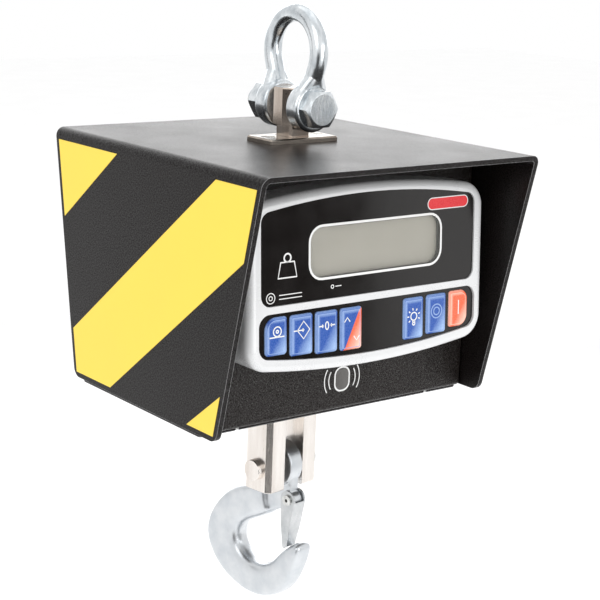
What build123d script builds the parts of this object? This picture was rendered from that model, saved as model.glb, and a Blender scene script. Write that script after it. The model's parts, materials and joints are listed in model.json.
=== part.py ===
from build123d import *
from math import cos, hypot, radians, sin, tan
import os

# Hanging crane scale: hooded indicator on a load cell, bow shackle above, eye hook below.
# Millimetres, +Z up.
# The origin is the seat inside the top of the shackle bow, where a crane hook carries the scale.
# X runs to the right across the display, Y towards the back, so the display faces -Y.

# ---------------------------------------------------------------- shackle (16 mm size, bolt type)
BAR_D = 15.0                 # bow bar diameter
BOW_R = 31.0                 # centre-line radius of the bow
LEG_LEAN = 19.8              # degrees that the legs close in below the bow
EAR_GAP = 27.0               # width between the ears
EAR_T = 15.5
EAR_R = 20.0
FLARE_TOP_Z = -40.0          # the round leg starts widening into the ear here
FLARE_TUCK = 0.4             # the flare starts this far inside the leg's surface
BOLT_R = 9.5
BOLT_HEX = 29.0              # across flats of the head and the nut
SPOT_FACE_R = 17.4           # flat turned on each ear for the head and the nut
COTTER_REACH = 19.0          # cotter pin beyond the ear's face
PIN_Z = -68.0                # shackle bolt axis

# ---------------------------------------------------------------- housing
HOOD_TOP = PIN_Z - 30.0      # outer face of the hood's roof
HOOD_W = 280.0
HOOD_H = 211.8
HOOD_T = 4.5
HOOD_BEND = 8.0              # outer bend radius
TOP_HALF_DEPTH = 149.3
FRONT_FOOT_Y = -98.8         # front bottom corner of a side panel
BACK_FOOT_Y = 115.3
FOOT_CORNER_R = 9.0
INNER_W = HOOD_W - 2 * HOOD_T
PANEL_Y = -78.3              # outer face of the front panel
REAR_Y = 96.0                # outer face of the rear cover
SHEET_T = 2.0
SHEET_GAP = 0.5              # folded panels stand this far inside the hood
FLANGE = 18.0
BASE_T = 4.0
BASE_SINK = 2.6              # counterbore that takes the base screws' heads
BASE_TOP = HOOD_TOP - HOOD_H - 0.2
BASE = (136.0, -71.5, 108.0)             # half width, front edge and back edge in Y
BASE_SCREWS = ((-100.0, PANEL_Y + 11), (100.0, PANEL_Y + 11), (-122.0, 60.0), (122.0, 60.0))
REAR_SCREWS = tuple((x, z) for x in (-126.0, 126.0) for z in (-22.0, -105.0, -190.0))
BEZEL_SCREWS = ((-116.2, -54.0), (116.2, -54.0), (-116.2, -133.0), (116.2, -133.0))
BEZEL_BOSS_R = 4.0
BOARD_POSTS = ((-90.0, -45.0), (90.0, -45.0), (-90.0, -138.0), (90.0, -138.0))
MAIN_POSTS = ((-70.0, -62.0), (70.0, -62.0), (-70.0, -150.0), (70.0, -150.0))
JACK = (-90.0, -150.0)
BATTERY_AT = (0.0, 60.0)
DECAL_T = 0.25
DECAL_INSETS = (9.5, 4.5)    # bare border of the stripes at the top and at the other edges
STRIPE_ANGLE = 37.5
STRIPE_EDGES = (22.0, -63.0, -130.5, -200.5)   # black and yellow edges, along the stripes' normal

# ---------------------------------------------------------------- display head
FACE_Y = -106.5              # front of the bezel at its top edge
FACE_TILT = 3.2              # degrees that the face leans forward towards its bottom
BEZEL_HALF = 121.5
BEZEL_TOP = HOOD_TOP - 19.2
BEZEL_BOTTOM = HOOD_TOP - 165.2
BEZEL_WALL = 4.0
ARCH = 9.5                   # rise of the arched edges from corner to middle
LABEL_HALF = 110.0
LABEL_TOP = HOOD_TOP - 25.9
LABEL_BOTTOM = HOOD_TOP - 106.9
KEYPAD_HALF = 112.0
KEYPAD_TOP = HOOD_TOP - 112.6
KEYPAD_BOTTOM = HOOD_TOP - 155.0
LABEL_SET = 1.4              # depth of the label's front behind the bezel's face
LABEL_T = 2.0
WINDOW_X = 5.6
WINDOW_Z = HOOD_TOP - 69.8
WINDOW_SIZE = (134.0, 39.0)
WINDOW_R = 11.0
GASKET_T = 2.5               # foam between the label and the liquid crystal panel
LCD_T = 3.0
MAT_SET = 2.0
MAT_T = 2.6
KEY_PROUD = 1.2
KEY_T = 4.4
KEY_GAP = 0.35
BOARD_SET = 11.0
BOARD_T = 1.6
# name: left edge, right edge, top, bottom (below the hood's roof), corner radii from top left, clockwise
KEYS = {
    "print": (-105.4, -84.6, -115.6, -145.4, (10.0, 2.5, 3.0, 3.5)),
    "tare": (-81.6, -59.6, -116.0, -148.2, (2.5, 2.5, 2.5, 2.5)),
    "zero": (-56.8, -34.8, -116.3, -149.8, (2.5, 2.5, 2.5, 2.5)),
    "unit": (-32.0, -10.0, -116.5, -150.6, (2.5, 2.5, 2.5, 2.5)),
    "light": (34.0, 55.6, -116.2, -150.4, (2.5, 2.5, 2.5, 2.5)),
    "off": (59.0, 80.6, -116.0, -148.8, (2.5, 2.5, 2.5, 2.5)),
    "on": (84.2, 104.8, -115.6, -146.0, (2.5, 8.0, 9.0, 2.5)),
}
SENSOR_Z = HOOD_TOP - 186.5
SENSOR_SIZE = (13.0, 18.0)

# ---------------------------------------------------------------- load line
LUG = (33.0, 24.4, 30.5)     # X, Y, Z of the lug block
LUG_CHAMFER = 6.4
LUG_BASE = HOOD_TOP + 14.5
NECK = 21.0
NECK_CHAMFER = 2.0
PLATE = (70.0, 34.0, 4.5)
SCREW_X = 25.0
LUG_FLANGE = (68.0, 36.0, 10.0)
LUG_FOOT_Z = HOOD_TOP - 30.0
CELL = (60.0, 30.0, 80.0)
STUD_R = 8.0
NUT_T = 8.0
NUT_HEX = 24.0
CELL_TOP = LUG_FOOT_Z - NUT_T
CELL_BOTTOM = CELL_TOP - CELL[2]
CLEVIS_TOP = CELL_BOTTOM - NUT_T
CLEVIS_W = 61.0
CLEVIS_D = 31.5
CLEVIS_CHAMFER = 4.2
CLEVIS_BOTTOM = HOOD_TOP - 301.5
SLOT_W = 22.0
SLOT_TOP = HOOD_TOP - 200.0
HOOK_PIN_Z = HOOD_TOP - 282.0
HOOK_PIN_R = 8.0
HOOK_PIN_HEAD_R = 9.25
LINE_TURN = 8.0              # degrees that the clevis stands turned on its stud

# ---------------------------------------------------------------- hook and latch, in the hook's own plane
EYE_R = 20.0
EYE_T = 14.0
HOOK_T = 21.0
HOOK_ROUND = 3.5             # rounding of the forged body's edges
BOWL_ROUND = 8.0             # rounding of the edges along the bowl
BOSS_T = 10.0
BOSS_R = 6.4                 # the boss turns inside the latch's front web
SPRING_POCKET = (5.6, 3.2)   # radius and depth of the boss's recess for the latch spring
EYE_CLEAR_R = 26.0           # the full-thickness body starts this far from the pin axis
LATCH_CLEAR_R = 27.0         # and this far from the latch pivot
LATCH_PIVOT = (16.5, -29.6)  # forward of and below the pin axis
LATCH_T = 1.5
LATCH_HALF = 6.9
LATCH_TIP_HALF = 4.7
LATCH_STRAIGHT = 24.0        # the cheeks stay parallel this far below the pivot
RIVET_R = 3.0

RUN = 0.06                   # radial clearance of a part that turns on a pin
LOOSE = 0.3                  # clearance of a part that only passes through


def front_plane(y):
    """A plane facing the front, at depth y; its sketch axes are X and Z."""
    return Plane.XZ.offset(-y)


def face_plane(depth=0.0):
    """The display head's tilted face, or this far behind it; its sketch axes are X and, nearly, Z."""
    tilt = radians(FACE_TILT)
    origin = (0, FACE_Y - BEZEL_TOP * sin(tilt), BEZEL_TOP - BEZEL_TOP * cos(tilt))
    return Plane(origin, x_dir=(1, 0, 0), z_dir=(0, -cos(tilt), sin(tilt))).offset(-depth)


def side_plane(x):
    """A plane facing +X; its sketch axes are Y and Z."""
    return Plane.YZ.offset(x)


TURN = Plane.XY.rotated((0, 0, LINE_TURN))


def turned(x, y, z):
    """A point of the load line's lower end, turned with the clevis."""
    return TURN.from_local_coords((x, y, z))


def line_plane(z):
    """A level plane turned with the clevis."""
    return TURN.offset(z)


def hook_plane(offset=0.0):
    """The hook's mid plane seen from its left: sketch x runs forward, sketch y up from the pin axis."""
    forward = turned(0, -1, 0)
    left = turned(-1, 0, 0)
    return Plane(origin=turned(-offset, 0, HOOK_PIN_Z), x_dir=forward, z_dir=left)


def save(part, name):
    """Label a finished piece and write it to its own STEP file."""
    part.label = name
    export_step(part, f"parts/{name}.step")


def hex_prism(plane, flats, thickness, hole_r=0.0):
    """A nut or bolt head standing on a plane, its outer corners turned down."""
    corner = flats / 2 / cos(radians(30))
    drop = 0.08 * flats
    disc = 0.88 * flats / 2
    with BuildPart() as prism:
        with BuildSketch(plane):
            RegularPolygon(corner, 6)
        extrude(amount=thickness)
        with BuildSketch(Plane(plane.origin, x_dir=plane.x_dir, z_dir=-plane.y_dir)):
            Polygon((0, 0), (corner + 1, 0), (corner + 1, thickness - drop),
                    (disc, thickness), (0, thickness), align=None)
        revolve(axis=Axis(plane.origin, plane.z_dir), mode=Mode.INTERSECT)
        if hole_r:
            with BuildSketch(plane):
                Circle(hole_r)
            extrude(amount=thickness, mode=Mode.SUBTRACT)
    return prism.part


# ---------------------------------------------------------------- shackle
def shackle_bow():
    lean = radians(LEG_LEAN)
    centre_z = BAR_D / 2 - BOW_R
    ear_y = EAR_GAP / 2 + EAR_T / 2
    join = (BOW_R * cos(lean), centre_z - BOW_R * sin(lean))
    knee_z = join[1] - (join[0] - ear_y) / tan(lean)
    with BuildPart() as bow:
        for side in (-1, 1):
            with BuildSketch(front_plane(side * EAR_GAP / 2)):
                with Locations((0, PIN_Z)):
                    Circle(EAR_R)
            extrude(amount=-side * EAR_T)
        fillet(bow.edges().filter_by(GeomType.CIRCLE), 3.5)
        for side in (-1, 1):
            flare_y = ear_y + (FLARE_TOP_Z - knee_z) * tan(lean)
            with BuildSketch(Plane((0, side * ear_y, PIN_Z + 8), x_dir=(1, 0, 0), z_dir=(0, 0, 1))):
                Ellipse(EAR_R - 2, EAR_T / 2 - 0.1)
            with BuildSketch(Plane((0, side * flare_y, FLARE_TOP_Z), x_dir=(1, 0, 0),
                                   z_dir=(0, side * sin(lean), cos(lean)))):
                Circle(BAR_D / 2 - FLARE_TUCK)
            loft()
        with BuildLine(Plane.YZ) as spine:
            FilletPolyline((ear_y, PIN_Z + 4), (ear_y, knee_z), join, radius=12)
            CenterArc((0, centre_z), BOW_R, -LEG_LEAN, 180 + 2 * LEG_LEAN)
            FilletPolyline((-join[0], join[1]), (-ear_y, knee_z), (-ear_y, PIN_Z + 4), radius=12)
        with BuildSketch(Plane((0, ear_y, PIN_Z + 4), x_dir=(1, 0, 0), z_dir=(0, 0, 1))):
            Circle(BAR_D / 2)
        sweep(path=spine.line)
        with BuildSketch(front_plane(-60)):
            with Locations((0, PIN_Z)):
                Circle(BOLT_R + LOOSE)
        extrude(amount=-120, mode=Mode.SUBTRACT)
        for side in (-1, 1):
            with BuildSketch(front_plane(side * (EAR_GAP / 2 + EAR_T))):
                with Locations((0, PIN_Z)):
                    Circle(SPOT_FACE_R)
            extrude(amount=-side * 12, mode=Mode.SUBTRACT)
    save(bow.part, "shackle_bow")


def shackle_bolt():
    seat = EAR_GAP / 2 + EAR_T
    head = hex_prism(Plane((0, -seat, PIN_Z), x_dir=(1, 0, 0), z_dir=(0, -1, 0)), BOLT_HEX, 10.5)
    with BuildPart() as bolt:
        add(head)
        with BuildSketch(Plane((0, -seat, PIN_Z), x_dir=(1, 0, 0), z_dir=(0, 1, 0))):
            Circle(BOLT_R)
        extrude(amount=2 * seat + 24)
        chamfer(bolt.edges().group_by(Axis.Y)[-1], 1.5)
        with Locations(Plane((0, seat + COTTER_REACH, PIN_Z), z_dir=(1, 0, 0))):
            Hole(2.2)
    save(bolt.part, "shackle_bolt")


def shackle_nut():
    seat = EAR_GAP / 2 + EAR_T
    nut = hex_prism(Plane((0, seat, PIN_Z), x_dir=(1, 0, 0), z_dir=(0, 1, 0)), BOLT_HEX, 14.5, BOLT_R + 0.05)
    save(nut, "shackle_nut")


def shackle_cotter():
    y = EAR_GAP / 2 + EAR_T + COTTER_REACH
    with BuildPart() as cotter:
        with BuildSketch(side_plane(-BOLT_R - 1.5)):
            with Locations((y, PIN_Z)):
                Circle(1.9)
        extrude(amount=2 * BOLT_R + 5)
        with BuildSketch(Plane((15.0, y + 2.8, PIN_Z), x_dir=(0, 1, 0), z_dir=(1, 0, 0))):
            Circle(1.1)
        revolve(axis=Axis((15.0, y, PIN_Z), (0, 0, 1)))
    save(cotter.part, "shackle_cotter")


# ---------------------------------------------------------------- load line
def upper_lug():
    flange_top = HOOD_TOP - HOOD_T
    with BuildPart() as lug:
        with BuildSketch(Plane.XY.offset(LUG_BASE)) as outline:
            Rectangle(LUG[0], LUG[1])
            chamfer(outline.vertices(), LUG_CHAMFER)
        extrude(amount=LUG[2])
        chamfer(lug.faces().sort_by(Axis.Z)[-1].edges(), 0.8)
        with BuildSketch(Plane.XY.offset(LUG_FOOT_Z)) as neck:
            Rectangle(NECK, NECK)
            chamfer(neck.vertices(), NECK_CHAMFER)
        extrude(amount=LUG_BASE - LUG_FOOT_Z)
        with BuildSketch(Plane.XY.offset(flange_top - LUG_FLANGE[2])):
            RectangleRounded(LUG_FLANGE[0], LUG_FLANGE[1], 3)
        extrude(amount=LUG_FLANGE[2])
        with BuildSketch(Plane.XY.offset(LUG_FOOT_Z)):
            RectangleRounded(34, 30, 3)
        extrude(amount=flange_top - LUG_FLANGE[2] - LUG_FOOT_Z)
        with BuildSketch(Plane.XY.offset(LUG_FOOT_Z)):
            Circle(STUD_R + 0.05)
        extrude(amount=14, mode=Mode.SUBTRACT)
        with BuildSketch(Plane.XY.offset(flange_top)):
            with Locations((-SCREW_X, 0), (SCREW_X, 0)):
                Circle(3.05)
        extrude(amount=-LUG_FLANGE[2], mode=Mode.SUBTRACT)
        with BuildSketch(front_plane(-40)):
            with Locations((0, PIN_Z)):
                Circle(BOLT_R + RUN)
        extrude(amount=-80, mode=Mode.SUBTRACT)
    save(lug.part, "upper_lug")


def top_plate():
    with BuildPart() as plate:
        with BuildSketch(Plane.XY.offset(HOOD_TOP)):
            RectangleRounded(PLATE[0], PLATE[1], 1.5)
        extrude(amount=PLATE[2])
        chamfer(plate.faces().sort_by(Axis.Z)[-1].edges(), 1.2)
        with BuildSketch(Plane.XY.offset(HOOD_TOP)):
            Rectangle(NECK + 2 * LOOSE, NECK + 2 * LOOSE)
        extrude(amount=PLATE[2], mode=Mode.SUBTRACT)
        with Locations((-SCREW_X, 0, HOOD_TOP + PLATE[2]), (SCREW_X, 0, HOOD_TOP + PLATE[2])):
            CounterSinkHole(3.3, 6.2, depth=PLATE[2])
    save(plate.part, "top_plate")


def top_plate_screws():
    with BuildPart() as screws:
        for x in (-SCREW_X, SCREW_X):
            with BuildSketch(Plane((x, 0, HOOD_TOP), x_dir=(1, 0, 0), z_dir=(0, -1, 0))):
                top = PLATE[2] - 0.3
                Polygon((0, -14), (3, -14), (3, top - 2.9), (5.9, top), (0, top), align=None)
            revolve(axis=Axis((x, 0, HOOD_TOP), (0, 0, 1)))
            with BuildSketch(Plane.XY.offset(HOOD_TOP + PLATE[2])):
                with Locations((x, 0)):
                    RegularPolygon(2.3, 6)
            extrude(amount=-3, mode=Mode.SUBTRACT)
    save(screws.part, "top_plate_screws")


def load_cell():
    width, depth, height = CELL
    middle = (CELL_TOP + CELL_BOTTOM) / 2
    with BuildPart() as cell:
        with BuildSketch(front_plane(0)):
            with Locations((0, middle)):
                Rectangle(width, height)
            for side in (-1, 1):
                with Locations((side * (width / 2 - 20), middle + side * 21)):
                    Rectangle(40.2, 4, mode=Mode.SUBTRACT)
                with Locations((side * 9, middle)):
                    Circle(10.5, mode=Mode.SUBTRACT)
        extrude(amount=depth / 2, both=True)
        with BuildSketch(Plane.XY.offset(CELL_BOTTOM), Plane.XY.offset(CELL_TOP - 15)):
            Circle(STUD_R + 0.05)
        extrude(amount=15, mode=Mode.SUBTRACT)
    save(cell.part, "load_cell")


def cell_studs():
    with BuildPart() as studs:
        with BuildSketch(Plane.XY.offset(CELL_TOP - 14), Plane.XY.offset(CELL_BOTTOM - NUT_T - 14)):
            Circle(STUD_R)
        extrude(amount=NUT_T + 27)
        chamfer(studs.edges().filter_by(GeomType.CIRCLE), 1)
    save(studs.part, "cell_studs")


def jam_nuts():
    with BuildPart() as nuts:
        for z in (CELL_TOP, CLEVIS_TOP):
            add(hex_prism(Plane.XY.offset(z), NUT_HEX, NUT_T, STUD_R + 0.05))
    save(nuts.part, "jam_nuts")


def lower_clevis():
    with BuildPart() as clevis:
        with BuildSketch(line_plane(CLEVIS_BOTTOM)) as outline:
            Rectangle(CLEVIS_W, CLEVIS_D)
            chamfer(outline.vertices(), CLEVIS_CHAMFER)
        extrude(amount=CLEVIS_TOP - CLEVIS_BOTTOM)
        chamfer(clevis.faces().sort_by(Axis.Z)[0].edges(), 0.8)
        slot_face = Plane(turned(0, -CLEVIS_D, 0), x_dir=turned(1, 0, 0), z_dir=turned(0, -1, 0))
        with BuildSketch(slot_face):
            with Locations((0, SLOT_TOP - SLOT_W / 2)):
                Circle(SLOT_W / 2)
            with Locations((0, (SLOT_TOP - SLOT_W / 2 + CLEVIS_BOTTOM - 5) / 2)):
                Rectangle(SLOT_W, SLOT_TOP - SLOT_W / 2 - CLEVIS_BOTTOM + 5)
        extrude(amount=-2 * CLEVIS_D, mode=Mode.SUBTRACT)
        with BuildSketch(hook_plane(CLEVIS_W)):
            Circle(HOOK_PIN_R + 0.05)
        extrude(amount=-2 * CLEVIS_W, mode=Mode.SUBTRACT)
        with BuildSketch(Plane.XY.offset(CLEVIS_TOP)):
            Circle(STUD_R + 0.05)
        extrude(amount=-16, mode=Mode.SUBTRACT)
    save(clevis.part, "lower_clevis")


def clevis_pin():
    face = CLEVIS_W / 2
    with BuildPart() as pin:
        with BuildSketch(hook_plane(face)):
            Circle(HOOK_PIN_HEAD_R)
        extrude(amount=5.2)
        chamfer(pin.faces().sort_by(Axis.X)[0].edges(), 0.5)
        with BuildSketch(hook_plane(face)):
            Circle(HOOK_PIN_R)
        extrude(amount=-2 * face - 5)
        with BuildSketch(hook_plane(-face - 0.6)):
            Circle(HOOK_PIN_R + 1)
            Circle(HOOK_PIN_R - 0.8, mode=Mode.SUBTRACT)
        extrude(amount=-1.7, mode=Mode.SUBTRACT)
    save(pin.part, "clevis_pin")


def pin_ring():
    with BuildPart() as ring:
        with BuildSketch(hook_plane(-CLEVIS_W / 2 - 0.7)):
            Circle(HOOK_PIN_R + 3)
            Circle(HOOK_PIN_R - 0.7, mode=Mode.SUBTRACT)
            with Locations((0, -HOOK_PIN_R - 2)):
                Rectangle(6, 8, mode=Mode.SUBTRACT)
        extrude(amount=-1.5)
    save(ring.part, "pin_ring")


# ---------------------------------------------------------------- hood and sheet-metal case
def side_outline(top_inset=0.0, inset=0.0):
    """The slanted side panel's outline in Y and Z, drawn in from its edges, for a sketch on a side plane."""
    front_lean = (TOP_HALF_DEPTH + FRONT_FOOT_Y) / HOOD_H
    back_lean = (TOP_HALF_DEPTH - BACK_FOOT_Y) / HOOD_H
    front = -TOP_HALF_DEPTH + inset * hypot(1, front_lean)
    back = TOP_HALF_DEPTH - inset * hypot(1, back_lean)
    foot = HOOD_H - inset
    return (
        (front + top_inset * front_lean, HOOD_TOP - top_inset),
        (back - top_inset * back_lean, HOOD_TOP - top_inset),
        (back - foot * back_lean, HOOD_TOP - foot),
        (front + foot * front_lean, HOOD_TOP - foot),
    )


def hood():
    with BuildPart() as shell:
        with BuildSketch(front_plane(-TOP_HALF_DEPTH)) as folded:
            with Locations((0, HOOD_TOP - HOOD_H / 2)):
                Rectangle(HOOD_W, HOOD_H)
            fillet(folded.vertices().group_by(Axis.Y)[-1], HOOD_BEND)
            with Locations((0, HOOD_TOP - HOOD_T)):
                Rectangle(INNER_W, 2 * HOOD_H, align=(Align.CENTER, Align.MAX), mode=Mode.SUBTRACT)
        extrude(amount=-2 * TOP_HALF_DEPTH)
        with BuildSketch(side_plane(-HOOD_W)) as side:
            Polygon(*side_outline(), align=None)
            fillet(side.vertices().group_by(Axis.Y)[0], FOOT_CORNER_R)
        extrude(amount=2 * HOOD_W, mode=Mode.INTERSECT)
        inner_bend = shell.edges().filter_by(Axis.Y).filter_by_position(
            Axis.Z, HOOD_TOP - HOOD_T - 0.1, HOOD_TOP - HOOD_T + 0.1)
        fillet(inner_bend, HOOD_BEND - HOOD_T)
        with BuildSketch(Plane.XY.offset(HOOD_TOP)):
            Rectangle(NECK + 2, NECK + 2)
            with Locations((-SCREW_X, 0), (SCREW_X, 0)):
                Circle(3.3)
        extrude(amount=-HOOD_T, mode=Mode.SUBTRACT)
    save(shell.part, "hood")


def stripe_decal(name, x, amount):
    """The yellow bands of a side panel's hazard stripes, a vinyl sheet on the panel's face."""
    lean = radians(STRIPE_ANGLE)
    reach = 400.0
    bands = ((STRIPE_EDGES[0], reach), (STRIPE_EDGES[2], STRIPE_EDGES[1]), (-reach, STRIPE_EDGES[3]))
    along = Vector(cos(lean), -sin(lean))
    across = Vector(sin(lean), cos(lean))
    roof = Vector(0, HOOD_TOP)
    with BuildPart() as decal:
        with BuildSketch(side_plane(x)):
            for low, high in bands:
                corners = []
                for up, forward in ((low, -reach), (low, reach), (high, reach), (high, -reach)):
                    corners.append(roof + across * up + along * forward)
                Polygon(*[(corner.X, corner.Y) for corner in corners], align=None)
            Polygon(*side_outline(*DECAL_INSETS), align=None, mode=Mode.INTERSECT)
        extrude(amount=amount)
    save(decal.part, name)


def below_roof(points):
    """Points given as X and height against the roof, as sketch points of a front plane."""
    return [(x, HOOD_TOP + z) for x, z in points]


def front_panel():
    half = INNER_W / 2 - SHEET_GAP
    top = HOOD_TOP - HOOD_T - SHEET_GAP
    with BuildPart() as panel:
        with BuildSketch(front_plane(PANEL_Y)):
            with Locations((0, (top + BASE_TOP) / 2)):
                Rectangle(2 * half, top - BASE_TOP)
        extrude(amount=-FLANGE)
        fillet(panel.edges().filter_by(Axis.Y), 3.5)
        fillet(panel.faces().sort_by(Axis.Y)[0].edges(), 3.0)
        with BuildSketch(front_plane(PANEL_Y + SHEET_T)):
            with Locations((0, (top + BASE_TOP) / 2)):
                RectangleRounded(2 * (half - SHEET_T), top - BASE_TOP - 2 * SHEET_T, 1.5)
        extrude(amount=-FLANGE, mode=Mode.SUBTRACT)
        with BuildSketch(front_plane(PANEL_Y)):
            with Locations((0, HOOD_TOP - 90)):
                RectangleRounded(150, 70, 4)
            with Locations((0, SENSOR_Z)):
                RectangleRounded(SENSOR_SIZE[0] + 0.2, SENSOR_SIZE[1] + 0.2, 5.6)
            with Locations(*below_roof(BEZEL_SCREWS)):
                Circle(2.2)
            with Locations(*below_roof(MAIN_POSTS)):
                Circle(1.7)
        extrude(amount=-2 * SHEET_T, mode=Mode.SUBTRACT)
        with BuildSketch(Plane.XY.offset(BASE_TOP)):
            with Locations(*BASE_SCREWS[:2]):
                Circle(2.05)
        extrude(amount=2 * SHEET_T, mode=Mode.SUBTRACT)
    save(panel.part, "front_panel")


def rear_cover():
    height = HOOD_H - HOOD_T - 2 * SHEET_GAP
    with BuildPart() as cover:
        with BuildSketch(front_plane(REAR_Y)):
            with Locations((0, HOOD_TOP - HOOD_T - SHEET_GAP - height / 2)):
                RectangleRounded(INNER_W - 2 * SHEET_GAP, height, 4)
            with Locations(*below_roof(REAR_SCREWS)):
                Circle(2.2, mode=Mode.SUBTRACT)
            with Locations(*below_roof([JACK])):
                Circle(6.1, mode=Mode.SUBTRACT)
        extrude(amount=SHEET_T)
        chamfer(cover.faces().sort_by(Axis.Y)[-1].outer_wire().edges(), 0.5)
    save(cover.part, "rear_cover")


def rear_rails():
    with BuildPart() as rails:
        for side in (-1, 1):
            with BuildSketch(Plane.XY.offset(HOOD_TOP - 204)):
                with Locations((side * (INNER_W / 2 - SHEET_T / 2), REAR_Y - SHEET_T - 8)):
                    Rectangle(SHEET_T, 16)
                with Locations((side * (INNER_W / 2 - 9), REAR_Y - 1.5 * SHEET_T)):
                    Rectangle(18, SHEET_T)
            extrude(amount=194)
        with BuildSketch(front_plane(REAR_Y)):
            with Locations(*below_roof(REAR_SCREWS)):
                Circle(2.05)
        extrude(amount=3 * SHEET_T, mode=Mode.SUBTRACT)
    save(rails.part, "rear_rails")


def base_brackets():
    foot_y = BASE_SCREWS[2][1]
    with BuildPart() as brackets:
        for side in (-1, 1):
            with BuildSketch(front_plane(foot_y + 10)):
                with Locations((side * INNER_W / 2, BASE_TOP)):
                    Rectangle(24, SHEET_T, align=(Align.MAX if side > 0 else Align.MIN, Align.MIN))
                    Rectangle(SHEET_T, 24, align=(Align.MAX if side > 0 else Align.MIN, Align.MIN))
            extrude(amount=20)
        with BuildSketch(Plane.XY.offset(BASE_TOP)):
            with Locations(*BASE_SCREWS[2:]):
                Circle(2.05)
        extrude(amount=2 * SHEET_T, mode=Mode.SUBTRACT)
    save(brackets.part, "base_brackets")


def base_plate():
    half, front, back = BASE
    with BuildPart() as plate:
        with BuildSketch(Plane.XY.offset(BASE_TOP)):
            with Locations((0, (front + back) / 2)):
                RectangleRounded(2 * half, back - front, 3)
            RectangleRounded(CLEVIS_W + 14, CLEVIS_D + 18, 6, mode=Mode.SUBTRACT)
            with Locations(*BASE_SCREWS):
                Circle(2.2, mode=Mode.SUBTRACT)
        extrude(amount=-BASE_T)
        chamfer(plate.faces().sort_by(Axis.Z)[0].outer_wire().edges(), 0.6)
        with BuildSketch(Plane.XY.offset(BASE_TOP - BASE_T)):
            with Locations(*BASE_SCREWS):
                Circle(4.3)
        extrude(amount=BASE_SINK, mode=Mode.SUBTRACT)
    save(plate.part, "base_plate")


def pan_head_screws(name, planes, length):
    """Pan-head M4 screws, each head standing on its plane and each shank running behind it."""
    with BuildPart() as screws:
        for plane in planes:
            with BuildSketch(plane):
                Circle(3.9)
            extrude(amount=2.5)
            rim = screws.faces().sort_by_distance(plane.origin + plane.z_dir * 2.5)[0].edges()
            fillet(rim, 1.0)
            with BuildSketch(plane.offset(1.3)):
                RegularPolygon(1.45, 6)
            extrude(amount=2, mode=Mode.SUBTRACT)
            with BuildSketch(plane):
                Circle(2.0)
            extrude(amount=-length)
    save(screws.part, name)


def case_screws():
    head_z = BASE_TOP - BASE_T + BASE_SINK
    below = [Plane((x, y, head_z), x_dir=(1, 0, 0), z_dir=(0, 0, -1)) for x, y in BASE_SCREWS]
    pan_head_screws("base_plate_screws", below, 6)
    behind = [Plane((x, REAR_Y, z), x_dir=(1, 0, 0), z_dir=(0, 1, 0)) for x, z in below_roof(REAR_SCREWS)]
    pan_head_screws("rear_cover_screws", behind, 7)
    back = PANEL_Y + SHEET_T
    inside = [Plane((x, back, z), x_dir=(1, 0, 0), z_dir=(0, 1, 0)) for x, z in below_roof(BEZEL_SCREWS)]
    pan_head_screws("display_bezel_screws", inside, 12)


# ---------------------------------------------------------------- display head
def barrel(half, top, bottom, rise_top, rise_bottom, corner_r, inset=0.0):
    """A face with upright sides whose top and bottom edges may bulge outwards."""
    half -= inset
    top -= inset
    bottom += inset
    high = top - rise_top
    low = bottom + rise_bottom
    with BuildSketch() as face:
        with BuildLine():
            if rise_top:
                ThreePointArc((-half, high), (0, top), (half, high))
            else:
                Line((-half, high), (half, high))
            Line((half, high), (half, low))
            if rise_bottom:
                ThreePointArc((half, low), (0, bottom), (-half, low))
            else:
                Line((half, low), (-half, low))
            Line((-half, low), (-half, high))
        make_face()
        fillet(face.vertices(), corner_r - inset)
    return face.sketch


def bezel_face(inset=0.0):
    return barrel(BEZEL_HALF, BEZEL_TOP, BEZEL_BOTTOM, ARCH, ARCH, 21.0, inset)


def label_face(inset=0.0):
    return barrel(LABEL_HALF, LABEL_TOP, LABEL_BOTTOM, ARCH, 0, 9.0, inset)


def keypad_face(inset=0.0):
    return barrel(KEYPAD_HALF, KEYPAD_TOP, KEYPAD_BOTTOM, 0, ARCH - 1, 10.0, inset)


def behind_face(depth):
    """Cut the part being built at the face plane of this depth, keeping what is behind it."""
    split(bisect_by=face_plane(depth), keep=Keep.BOTTOM)


def display_bezel():
    reach = PANEL_Y - FACE_Y + 20
    with BuildPart() as cavity:
        with BuildSketch(front_plane(PANEL_Y)):
            add(bezel_face(BEZEL_WALL))
            with Locations(*below_roof(BEZEL_SCREWS)):
                Circle(BEZEL_BOSS_R, mode=Mode.SUBTRACT)
        extrude(amount=reach)
        behind_face(BEZEL_WALL)
    with BuildPart() as bezel:
        with BuildSketch(front_plane(PANEL_Y)):
            add(bezel_face())
        extrude(amount=reach)
        behind_face(0)
        fillet(bezel.faces().sort_by(Axis.Y)[0].edges(), 7.0)
        add(cavity.part, mode=Mode.SUBTRACT)
        with BuildSketch(face_plane(BEZEL_WALL + 1)):
            add(label_face())
            add(keypad_face())
        extrude(amount=BEZEL_WALL + 2, mode=Mode.SUBTRACT)
        with BuildSketch(front_plane(PANEL_Y)):
            with Locations(*below_roof(BEZEL_SCREWS)):
                Circle(2.05)
        extrude(amount=13, mode=Mode.SUBTRACT)
    save(bezel.part, "display_bezel")


def display_back():
    with BuildPart() as back:
        with BuildSketch(front_plane(PANEL_Y)):
            with Locations(*below_roof(BOARD_POSTS)):
                Circle(3.2)
        extrude(amount=PANEL_Y - FACE_Y)
        behind_face(BOARD_SET + BOARD_T)
        with BuildSketch(front_plane(PANEL_Y)):
            add(bezel_face(BEZEL_WALL + LOOSE))
            with Locations(*below_roof(BEZEL_SCREWS)):
                Circle(BEZEL_BOSS_R + LOOSE, mode=Mode.SUBTRACT)
            with Locations((0, HOOD_TOP - 100)):
                RectangleRounded(50, 12, 2, mode=Mode.SUBTRACT)
        extrude(amount=SHEET_T)
    save(back.part, "display_back")


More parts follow.
